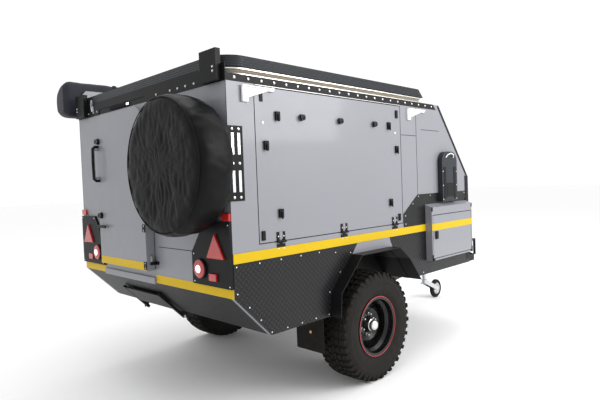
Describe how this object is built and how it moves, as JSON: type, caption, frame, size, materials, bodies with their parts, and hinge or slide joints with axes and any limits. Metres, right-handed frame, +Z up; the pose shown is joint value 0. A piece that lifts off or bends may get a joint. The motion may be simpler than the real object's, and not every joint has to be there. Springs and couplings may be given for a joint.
{
  "type": "off-road caravan",
  "caption": "Compact off-road camping trailer: pop-top box body with side hatches and rear door, road wheels in angular arches, drawbar and jockey wheel.",
  "frame": {"origin": "on the ground under the middle of the whole caravan's box", "axes": "+X forward to the coupling, +Y to the left side, +Z up"},
  "size_m": [4.498, 2.3149, 2.375],
  "materials": {
    "body_panel": "light silver-grey satin paint",
    "black_steel": "black powder coat",
    "tread_plate": "black chequered aluminium plate",
    "lid_skin": "dark slate ribbed moulding",
    "canvas": "beige canvas",
    "bag_fabric": "dark blue-grey coated fabric",
    "cover_vinyl": "black vinyl wheel cover",
    "glass": "tinted glazing",
    "white_paint": "white paint",
    "zinc": "zinc plated",
    "tyre_rubber": "rubber",
    "rim_black": "gloss black with a red line round the flange",
    "lamp_red": "red lens",
    "gas_green": "green paint",
    "heater_grey": "slate plastic"
  },
  "bodies": {
    "root": {"side_wall_right": "body_panel", "side_wall_left": "body_panel", "rear_wall": "body_panel", "front_wall": "body_panel", "front_slope": "body_panel", "front_window": "glass", "floor_panel": "black_steel", "belly_pan": "black_steel", "wheel_housings": "black_steel", "arch_flares": "black_steel", "skirt_plates": "tread_plate", "roof_frame": "black_steel", "rear_flange": "black_steel", "canvas_bellows": "canvas", "door_hinges": "black_steel", "hatch_hinges": "black_steel", "guard_hinges": "black_steel", "side_lockers": "body_panel", "heater_case": "heater_grey", "tail_light_panels": "black_steel", "tail_lamps": "lamp_red", "awning_mount": "body_panel", "awning_bag": "bag_fabric", "wall_brackets": "white_paint", "spare_carrier": "black_steel", "spare_wheel": "cover_vinyl", "chassis_rails": "black_steel", "crossmembers": "black_steel", "drawbar_beams": "black_steel", "drawbar_plate": "tread_plate", "coupling_head": "zinc", "axle_beam": "black_steel", "leaf_springs": "black_steel", "mud_flaps": "tyre_rubber", "step_brackets": "black_steel", "nose_tray": "black_steel", "gas_cylinders": "gas_green", "jockey_post": "zinc"},
    "roof_lid": {"roof_lid": "lid_skin"},
    "rear_door": {"rear_door": "body_panel"},
    "hatch_right": {"hatch_right": "body_panel"},
    "hatch_left": {"hatch_left": "body_panel"},
    "stone_guard": {"stone_guard": "black_steel"},
    "strut_barrels": {"strut_barrels": "black_steel"},
    "strut_rods": {"strut_rods": "zinc"},
    "locker_door_right": {"locker_door_right": "body_panel"},
    "locker_door_left": {"locker_door_left": "body_panel"},
    "wheel_right": {"rim_right": "rim_black", "tyre_right": "tyre_rubber"},
    "wheel_left": {"rim_left": "rim_black", "tyre_left": "tyre_rubber"},
    "entry_step": {"entry_step": "black_steel"},
    "jockey_fork": {"jockey_fork": "zinc"},
    "jockey_wheel": {"jockey_hub": "zinc", "jockey_tyre": "tyre_rubber"}
  },
  "joints": [
    {"name": "rear_door_hinge", "type": "hinge", "parent": "root", "child": "rear_door", "pos_m": [-2.008, -0.1915, 1.4], "axis": [0, 0, 1], "range_deg": [0, 95]},
    {"name": "hatch_right_hinge", "type": "hinge", "parent": "root", "child": "hatch_right", "pos_m": [-1.032, -1.0355, 1.121], "axis": [1, 0, 0], "range_deg": [0, 90]},
    {"name": "hatch_left_hinge", "type": "hinge", "parent": "root", "child": "hatch_left", "pos_m": [-1.032, 0.9605, 1.121], "axis": [-1, 0, 0], "range_deg": [0, 90]},
    {"name": "roof_lid_hinge", "type": "hinge", "parent": "root", "child": "roof_lid", "pos_m": [0.117, -0.0375, 2.142], "axis": [0, 1, 0], "range_deg": [0, 25], "deforming": ["canvas_bellows"]},
    {"name": "stone_guard_hinge", "type": "hinge", "parent": "root", "child": "stone_guard", "pos_m": [0.35214, -0.0375, 2.06361], "axis": [0, -1, 0], "range_deg": [0, 60]},
    {"name": "strut_pivot", "type": "hinge", "parent": "root", "child": "strut_barrels", "pos_m": [0.66439, -0.0375, 1.68856], "axis": [0, 1, 0], "range_deg": [0, 33.12]},
    {"name": "strut_slide", "type": "slide", "parent": "strut_barrels", "child": "strut_rods", "axis": [-0.6552, 0, 0.7554], "range_m": [0, 0.1883]},
    {"name": "locker_right_hinge", "type": "hinge", "parent": "root", "child": "locker_door_right", "pos_m": [0.73, -1.0935, 0.98], "axis": [0, 0, 1], "range_deg": [0, 110]},
    {"name": "locker_left_hinge", "type": "hinge", "parent": "root", "child": "locker_door_left", "pos_m": [0.73, 1.0185, 0.98], "axis": [0, 0, -1], "range_deg": [0, 110]},
    {"name": "wheel_right_spin", "type": "hinge", "parent": "root", "child": "wheel_right", "pos_m": [-0.696, -0.937, 0.4], "axis": [0, 1, 0], "continuous": true},
    {"name": "wheel_left_spin", "type": "hinge", "parent": "root", "child": "wheel_left", "pos_m": [-0.696, 0.862, 0.4], "axis": [0, 1, 0], "continuous": true},
    {"name": "entry_step_fold", "type": "hinge", "parent": "root", "child": "entry_step", "pos_m": [-1.6923, 0.2225, 0.5297], "axis": [0, -1, 0], "range_deg": [0, 45]},
    {"name": "jockey_swivel", "type": "hinge", "parent": "root", "child": "jockey_fork", "pos_m": [1.627, -0.0375, 0.25], "axis": [0, 0, 1], "continuous": true},
    {"name": "jockey_spin", "type": "hinge", "parent": "jockey_fork", "child": "jockey_wheel", "pos_m": [1.877, -0.0375, 0.109], "axis": [0, 1, 0], "continuous": true}
  ],
  "couplings": [
    {"joint": "strut_pivot", "follows": "stone_guard_hinge", "ratio": 0.55113},
    {"joint": "strut_slide", "follows": "stone_guard_hinge", "m_per_rad": 0.17965}
  ]
}
